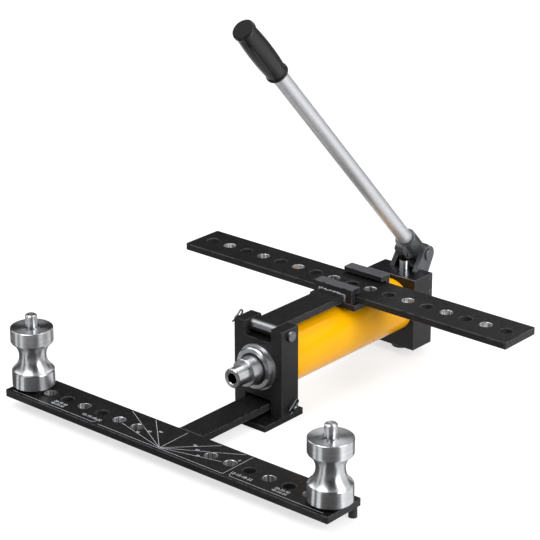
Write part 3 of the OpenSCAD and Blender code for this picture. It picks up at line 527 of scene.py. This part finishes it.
# Ram, gland nut and piston: steel turned about the cylinder's axis, ground bright where it slides.
# The stepped nose takes a bending former, and the gland nut's flange closes the head.
ram_low, ram_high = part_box("ram")
axis_z = (ram_low.z + ram_high.z) / 2
nose_bore_radius, bore_margin = 9 * MM, 0.1 * MM
# Turned steel: a little brighter than the rollers, with rings and streaks about the ram's own axis.
# Its nose bore is painted dark, as painted shade
ram_steel = turned_steel("turned_steel_ram", (0, 0, axis_z), "Y", "#b4b5b8", "#dcdddf", 0.3, 0.5,
                         shaded_within=nose_bore_radius + bore_margin)
for name in ("ram", "gland_nut", "piston", "plunger_pin"):
    finish_node(name, ram_steel)

# Cylinder: a drawn steel tube between the head and the pump block, in glossy yellow enamel.
# The wet paint settles into a faint orange peel under its gloss.
enamel, tree = new_material("glossy_yellow_enamel")
place = add(tree, "TexCoord", out="Object")
# Glossy enamel: a deep, even yellow with soft highlights. Its tone drifts over about 70 mm, and its orange
# peel is about 1 mm, drawn at 2.4 mm so that it shows
peel = add(tree, "TexNoise", place, Scale=per(2.381), Detail=2.0)
drift = add(tree, "TexNoise", place, Scale=per(71.43), Detail=2.0)
tone = add(tree, "Mix", drift, _6=linear("#eda203"), _7=linear("#f2b208"), **of_colours)
bump = add(tree, "Bump", Height=peel, Strength=0.05, Distance=0.05 * MM)
shader = add(tree, "BsdfPrincipled", Base_Color=tone, Roughness=0.24, Specular_IOR_Level=0.13,
             Coat_Weight=0.04, Coat_Roughness=0.06, Normal=bump)
add(tree, "OutputMaterial", shader)
finish_node("cylinder_tube", enamel)

# Pump block and plunger's bush: steel, black on the sides, with the block's top ground flat and blued.
# The blued top is smooth enough to mirror the plunger that stands on it.
block_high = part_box("pump_block")[1]
top_skin, block_rub_and_glint = 0.2 * MM, 0.6
blued, tree = new_material("black_coat_with_blued_ground_top")
place = add(tree, "TexCoord", out="Object")
# Blued ground steel: a dim mirror with fine grinding lines across. Below it, the head's black coat in its
# darker top tones on every face, which are painted shade, and edges painted lighter, partly rubbed and partly
# a painted highlight
top = add(tree, "Math", add(tree, "SeparateXYZ", place, out="Z"), block_high.z - top_skin,
          operation="GREATER_THAN")
cloud = add(tree, "TexNoise", place, Scale=per(55.6), Detail=4.0, Roughness=0.6)
# Grinding lines are about 0.2 mm wide; drawn at 1.1 mm so that they show
lines = add(tree, "TexNoise", add(tree, "Mapping", place, Scale=(per(33.3), per(1.111), 1)), Scale=1.0,
            Detail=3.0)
rub_and_glint = add(tree, "Math", edge_mask(tree, rub_and_glint_edge), block_rub_and_glint, operation="MULTIPLY")
grain = add(tree, "TexNoise", place, Scale=per(3.03), Detail=4.0, Roughness=0.75)
speck = add(tree, "MapRange", grain, From_Min=0.48, From_Max=0.64, To_Max=speck_strength)
coat = add(tree, "Mix", cloud, _6=linear(painted_shade_top_hex), _7=linear(painted_shade_top_cloud_hex), **of_colours)
coat = add(tree, "Mix", speck, _6=coat, _7=linear(speck_hex), **of_colours)
coat = add(tree, "Mix", rub_and_glint, _6=coat, _7=linear(rub_and_glint_hex), **of_colours)
ground = add(tree, "Mix", lines, _6=linear("#5a5b5f"), _7=linear("#7c7d82"), **of_colours)
tone = add(tree, "Mix", top, _6=coat, _7=ground, **of_colours)
rough = add(tree, "MapRange", top, To_Min=0.42, To_Max=0.24)
shader = add(tree, "BsdfPrincipled", Base_Color=tone, Metallic=top, Roughness=rough, Specular_IOR_Level=0.25)
add(tree, "OutputMaterial", shader)
finish_node("pump_block", blued)
finish_node("plunger_gland", blued)

# Release valve: a fluted hand knob moulded in black phenolic on a steel stem.
# Opened a turn, it lets the oil back and the ram return.
phenolic, tree = new_material("moulded_black_phenolic")
# Moulded phenolic: nearly black and glossy, with a faint mottle about 3 mm wide
mottle = add(tree, "TexNoise", add(tree, "TexCoord", out="Object"), Scale=per(3.333), Detail=4.0)
tone = add(tree, "Mix", mottle, _6=linear("#131314"), _7=linear("#202021"), **of_colours)
bump = add(tree, "Bump", Height=mottle, Strength=0.1, Distance=0.05 * MM)
shader = add(tree, "BsdfPrincipled", Base_Color=tone, Roughness=0.3, Normal=bump)
add(tree, "OutputMaterial", shader)
finish_node("release_valve", phenolic)

# Plunger: hard-chromed rod with a flat eye, pinned in the lever's slotted nose.
# It is ground and polished, so it mirrors the lamps in narrow upright streaks.


def lay_over(made, mask, **finish):
    """Lays another finish over a material where the mask is one: a colour, or a number for another input."""
    tree = made.node_tree
    shader = next(node for node in tree.nodes if node.type == "BSDF_PRINCIPLED")
    for name, value in finish.items():
        socket = shader.inputs[name.replace("_", " ")]
        before = socket.links[0].from_socket if socket.links else socket.default_value
        if isinstance(value, tuple):
            after = add(tree, "Mix", mask, _6=before, _7=value, **of_colours)
        else:
            after = add(tree, "Mix", mask, _2=before, _3=value)
        tree.links.new(socket, after)


plunger_low, plunger_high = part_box("plunger")
plunger_y = (plunger_low.y + plunger_high.y) / 2
eye_height, eye_fade = 18 * MM, 1.5 * MM
# Hard chrome: nearly white, with sharp light and dark streaks
chrome = turned_steel("hard_chrome", (0, plunger_y, 0), "Z", "#c4c6c9", "#e2e4e6", 0.3, 0.85)
# Painted shade: its eye is painted dark where it sits in the lever's nose
tree = chrome.node_tree
height = add(tree, "SeparateXYZ", add(tree, "TexCoord", out="Object"), out="Z")
eye = add(tree, "MapRange", height, From_Min=plunger_high.z - eye_height,
          From_Max=plunger_high.z - eye_height + eye_fade)
lay_over(chrome, eye, Base_Color=linear("#1b1b1c"))
finish_node("plunger", chrome)

# Cheeks, fulcrum pin and lever socket: cast steel and steel plate, phosphated dark grey.
# The cheeks stand in slots of the pump block, and the socket turns on the pin between them.
# Edges of castings and plates are painted paler, partly rubbed and partly a painted highlight
cast_rub_and_glint_edge, cast_rub_and_glint, cast_rub_and_glint_hex = 1.0 * MM, 0.7, "#8d8e90"


def phosphated_steel(name, dark_hex, light_hex, roughness, grain_mm, strength):
    """Phosphated steel: dull dark grey, with a sand grain and edges painted paler, partly rubbed and partly
    a painted highlight.
    """
    made, tree = new_material(name)
    place = add(tree, "TexCoord", out="Object")
    # The phosphate lies in clouds about 22 mm wide; its grain is given, from the sand mould or the mill
    cloud = add(tree, "TexNoise", place, Scale=per(22.22), Detail=6.0, Roughness=0.65)
    grain = add(tree, "TexNoise", place, Scale=per(grain_mm), Detail=4.0)
    rub_and_glint = add(tree, "Math", edge_mask(tree, cast_rub_and_glint_edge), cast_rub_and_glint, operation="MULTIPLY")
    tone = add(tree, "Mix", cloud, _6=linear(dark_hex), _7=linear(light_hex), **of_colours)
    tone = add(tree, "Mix", rub_and_glint, _6=tone, _7=linear(cast_rub_and_glint_hex), **of_colours)
    bump = add(tree, "Bump", Height=grain, Strength=strength, Distance=0.12 * MM)
    shader = add(tree, "BsdfPrincipled", Base_Color=tone, Metallic=0.55, Roughness=roughness, Normal=bump)
    add(tree, "OutputMaterial", shader)
    return made


# Cast steel: mid grey with a coarse sand grain. Plate steel: smoother, and darkest on the left cheek,
# which stands in the shade of the others: a darker copy of the plate, as painted shade
casting = phosphated_steel("phosphated_cast_steel", "#353639", "#595a5e", 0.36, 2.0, 0.35)
painted_shade_plate = phosphated_steel("phosphated_plate_steel_painted_shade", "#1c1c1e", "#38393b", 0.4, 1.111, 0.15)
plate_steel = phosphated_steel("phosphated_plate_steel", "#38393c", "#5d5e62", 0.34, 1.111, 0.15)
finish_node("lever_socket", casting)
finish_node("cheek_left", painted_shade_plate)
finish_node("cheek_right", plate_steel)
finish_node("fulcrum_pin", plate_steel)
finish_node("set_screw", spring_steel)

# Cheek gap wedge: a dark steel wedge between the two cheeks behind the pump block, below the fulcrum.
# It is painted shade: a dark piece filling the shaded gap there, phosphated like the left cheek in its
# painted-shade tone, and screwed between them.
cheek_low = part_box("cheek_right")[0]
pin_low, pin_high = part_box("fulcrum_pin")
fulcrum = Vector((0, (pin_low.y + pin_high.y) / 2, (pin_low.z + pin_high.z) / 2))
# Its outline: millimetres behind the pump block, and above the fulcrum pin's axis
shade_wedge_outline = [(1.0, -58.0), (3.0, -58.0), (18.5, -18.9), (11.5, -18.9), (1.0, -30.0)]
shade_wedge_edge = 0.8 * MM
wedge = bmesh.new()
sides = [[wedge.verts.new((x, block_high.y + y * MM, fulcrum.z + z * MM)) for y, z in shade_wedge_outline]
         for x in (-cheek_low.x, cheek_low.x)]
wedge.faces.new(sides[0])
wedge.faces.new(sides[1][::-1])
for i in range(len(shade_wedge_outline)):
    j = (i + 1) % len(shade_wedge_outline)
    wedge.faces.new((sides[0][i], sides[1][i], sides[1][j], sides[0][j]))
bmesh.ops.recalc_face_normals(wedge, faces=wedge.faces)
bmesh.ops.bevel(wedge, geom=[e for e in wedge.edges if abs(e.verts[0].co.x - e.verts[1].co.x) > MM],
                offset=shade_wedge_edge, segments=2, affect="EDGES")
shade_wedge_mesh = bpy.data.meshes.new("cheek_gap_shade_wedge")
wedge.to_mesh(shade_wedge_mesh)
wedge.free()
shade_wedge = mesh_object("cheek_gap_shade_wedge", shade_wedge_mesh)
shade_wedge.data.materials.append(painted_shade_plate)
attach(shade_wedge, "base")

# Lever tube: drawn aluminium, anodised satin, held in the socket by a set screw.
# Drawing leaves faint lines along it, and anodising gives it an even, pale, soft sheen.
lever_rise = math.radians(47.4)
tube_alloy, tree = new_material("satin_anodised_aluminium")
# Satin anodised aluminium: pale, soft and slightly grainy. Its grain is under 0.1 mm; drawn at 1 mm across
# and 2.4 mm along the tube so that it shows
turned = add(tree, "VectorRotate", add(tree, "TexCoord", out="Object"), rotation_type="X_AXIS",
             Angle=lever_rise - math.pi / 2, Center=tuple(fulcrum))
drawn = add(tree, "Mapping", turned, Scale=(per(1.111), per(1.111), per(2.381)))
grain = add(tree, "TexNoise", drawn, Scale=1.0, Detail=3.0)
tone = add(tree, "Mix", grain, _6=linear("#a3a5a9"), _7=linear("#e6e8eb"), **of_colours)
rough = add(tree, "MapRange", grain, To_Min=0.36, To_Max=0.5)
bump = add(tree, "Bump", Height=grain, Strength=0.15, Distance=0.05 * MM)
shader = add(tree, "BsdfPrincipled", Base_Color=tone, Metallic=0.7, Roughness=rough, Normal=bump)
add(tree, "OutputMaterial", shader)
finish_node("lever_tube", tube_alloy)

# Grip: a moulded black rubber sleeve pushed over the end of the tube.
# It has a closed cap, a thin front flange and four long finger grooves.
grip_rubber = moulded_rubber("moulded_black_rubber_grip", "#09090a", 0.33, grain_mm=0.9091)
# The cap's end is left as rough as its mould, and is painted darker than the sides, as painted shade
tree = grip_rubber.node_tree
outward = (0, -math.cos(lever_rise), math.sin(lever_rise))
on_end = add(tree, "VectorMath", outward, add(tree, "TexCoord", out="Normal"), operation="DOT_PRODUCT",
             out="Value")
end = add(tree, "MapRange", on_end, From_Min=0.9, From_Max=0.97)
lay_over(grip_rubber, end, Base_Color=linear("#040405"), Roughness=0.85)
finish_node("lever_grip", grip_rubber)

# Upper frame: a stem plate from the hinge barrel to a support plate with two hook rails.
# Its pieces are welded together and coated black; the bar slides between the rails.
finish_node("support_plate", black)
# The same black coat, with the rails' tops painted paler, partly handled and partly a painted sheen, and
# their edges painted lighter more strongly, partly rubbed and partly a painted highlight
hook_black = coated_black("satin_black_powder_coat_hooks", top_handling_and_sheen_hex="#4c4c4e", rub_and_glint_strength=0.9)
for name in ("hook_front", "hook_rear"):
    finish_node(name, hook_black)
pin_low, pin_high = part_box("upper_pin")
hinge_y, hinge_z = (pin_low.y + pin_high.y) / 2, (pin_low.z + pin_high.z) / 2
barrel_glint_y, barrel_glint_z = hinge_y - 0.5 * MM, hinge_z + 1.0 * MM
# Painted highlight: bare steel in patches of about 17 mm, laid only on the barrel's upper front, where it
# catches the light
stem_black = coated_black("satin_black_powder_coat_barrel_glint")
tree = stem_black.node_tree
place = add(tree, "TexCoord", out="Object")
split = add(tree, "SeparateXYZ", place).node.outputs
before_pin = add(tree, "Math", split["Y"], barrel_glint_y, operation="LESS_THAN")
above_pin = add(tree, "Math", split["Z"], barrel_glint_z, operation="GREATER_THAN")
barrel = add(tree, "Math", before_pin, above_pin, operation="MULTIPLY")
patches = add(tree, "TexNoise", place, Scale=per(16.67), Detail=4.0)
patches = add(tree, "MapRange", patches, From_Min=0.25, From_Max=0.5)
bare = add(tree, "Math", barrel, patches, operation="MULTIPLY")
lay_over(stem_black, bare, Base_Color=linear("#86878a"), Metallic=1.0, Roughness=0.3)
finish_node("upper_stem", stem_black)

# Weld beads: fillets of weld metal where rails and stem meet, laid by hand in overlapping ripples.
# The three upper beads were brushed after welding and show bare; the lower one is coated with its plates.
# Brushed weld metal: glinting ripples with dark scale about 2.4 mm wide left between them
weld_metal, tree = new_material("brushed_weld_metal")
scale = add(tree, "TexNoise", add(tree, "TexCoord", out="Object"), Scale=per(2.381), Detail=4.0)
tone = add(tree, "Mix", scale, _6=linear("#3a3a3d"), _7=linear("#a6a7ab"), **of_colours)
shader = add(tree, "BsdfPrincipled", Base_Color=tone, Metallic=0.7, Roughness=0.22)
add(tree, "OutputMaterial", shader)
bead_group = bpy.data.node_groups.new("weld_bead", "GeometryNodeTree")
bead_inputs = {"Start": "Vector", "End": "Vector", "Ripple spacing": "Float", "Bead radius": "Float",
               "Wander": "Float", "Seed": "Int", "Material": "Material"}
for label, kind in bead_inputs.items():
    bead_group.interface.new_socket(label, in_out="INPUT", socket_type="NodeSocket" + kind)
bead_group.interface.new_socket("Geometry", in_out="OUTPUT", socket_type="NodeSocketGeometry")
given = add(bead_group, "NodeGroupInput").node.outputs
path = add(bead_group, "GeometryNodeCurvePrimitiveLine", Start=given["Start"], End=given["End"])
points = add(bead_group, "GeometryNodeCurveToPoints", mode="LENGTH", Curve=path,
             Length=given["Ripple spacing"], out="Points")
ripple = add(bead_group, "GeometryNodeMeshUVSphere", Segments=10, Rings=7, Radius=given["Bead radius"])
uneven = add(bead_group, "FunctionNodeRandomValue", data_type="FLOAT", _2=0.72, _3=1.3, Seed=given["Seed"],
             out=1)
drift = add(bead_group, "FunctionNodeRandomValue", (-1, -1, -1), (1, 1, 1), data_type="FLOAT_VECTOR",
            Seed=given["Seed"])
offset = add(bead_group, "VectorMath", drift, operation="SCALE", Scale=given["Wander"])
wavy = add(bead_group, "GeometryNodeSetPosition", Geometry=points, Offset=offset)
ripples = add(bead_group, "GeometryNodeInstanceOnPoints", Points=wavy, Instance=ripple, Scale=uneven)
solid = add(bead_group, "GeometryNodeRealizeInstances", ripples)
add(bead_group, "NodeGroupOutput",
    add(bead_group, "GeometryNodeSetMaterial", Geometry=solid, Material=given["Material"]))


def weld_bead(name, body, start, end, radius, seed, made):
    """Makes one weld bead between two points and lets it ride on its body."""
    carrier = mesh_object("carrier", bpy.data.meshes.new("carrier"))
    modifier = carrier.modifiers.new("bead", "NODES")
    modifier.node_group = bead_group
    keys = {item.name: item.identifier for item in bead_group.interface.items_tree if item.in_out == "INPUT"}
    # Ripples lie three quarters of a radius apart and wander by a quarter
    wanted = {"Start": start, "End": end, "Ripple spacing": radius * 0.75, "Bead radius": radius,
              "Wander": radius * 0.25, "Seed": seed, "Material": made}
    for label, value in wanted.items():
        modifier[keys[label]] = value
    bpy.context.view_layer.update()
    baked = bpy.data.meshes.new_from_object(carrier.evaluated_get(bpy.context.evaluated_depsgraph_get()))
    baked.name = name
    carrier.modifiers.remove(modifier)
    bpy.data.objects.remove(carrier)
    for face in baked.polygons:
        face.use_smooth = True
    piece = mesh_object(name, baked)
    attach(piece, body)


front_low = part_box("hook_front")[0]
support_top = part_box("support_plate")[1].z
stem_half, stem_thickness = 25 * MM, 12 * MM
stem_top = support_top + stem_thickness
bead_radius, bead_seat = 2.3 * MM, 0.9 * MM
# The long bead runs past the stem on the left, and less so on the right
left_overrun, right_overrun = 3 * MM, 1 * MM
bead_y, bead_z = front_low.y - bead_seat, stem_top + bead_seat
weld_bead("weld_bead_hook_front", "upper_frame", (-stem_half - left_overrun, bead_y, bead_z),
          (stem_half + right_overrun, bead_y, bead_z), bead_radius, 3, weld_metal)
# A thinner bead goes down each side of the stem
side_seat, side_foot, side_radius = 0.8 * MM, 1 * MM, bead_radius * 0.85
for side, word, seed in ((-1, "left", 4), (1, "right", 5)):
    side_x = side * (stem_half + side_seat)
    weld_bead("weld_bead_stem_" + word, "upper_frame", (side_x, bead_y, stem_top),
              (side_x, bead_y, support_top + side_foot), side_radius, seed, weld_metal)
# The lower stem's bead lies in the corner behind the lower bar
lower_joint_y, lower_bead_radius = bar_row_y + 41 * MM, 1.6 * MM
weld_bead("weld_bead_lower_stem", "base", (-stem_half, lower_joint_y, bar_top_z - bead_seat),
          (stem_half, lower_joint_y, bar_top_z - bead_seat), lower_bead_radius, 6, black)

# Upper bar: a drilled flat bar in mild steel, coated black, that slides between the hook rails.
# Every second bore is left bright where a pin has run in it.
upper_low, upper_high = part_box("upper_bar")
upper_row_y = (upper_low.y + upper_high.y) / 2
finish_node("upper_bar", coated_black("satin_black_powder_coat_drilled_upper_bar", upper_row_y))

# Every CAD piece: shaded smooth where it is round, with its machined edges kept sharp.
# An edge is sharp where two faces meet at more than this angle.
sharp_from = math.radians(32)
for node_object in nodes.values():
    for face in node_object.data.polygons:
        face.use_smooth = True
    node_object.data.set_sharp_from_angle(angle=sharp_from)
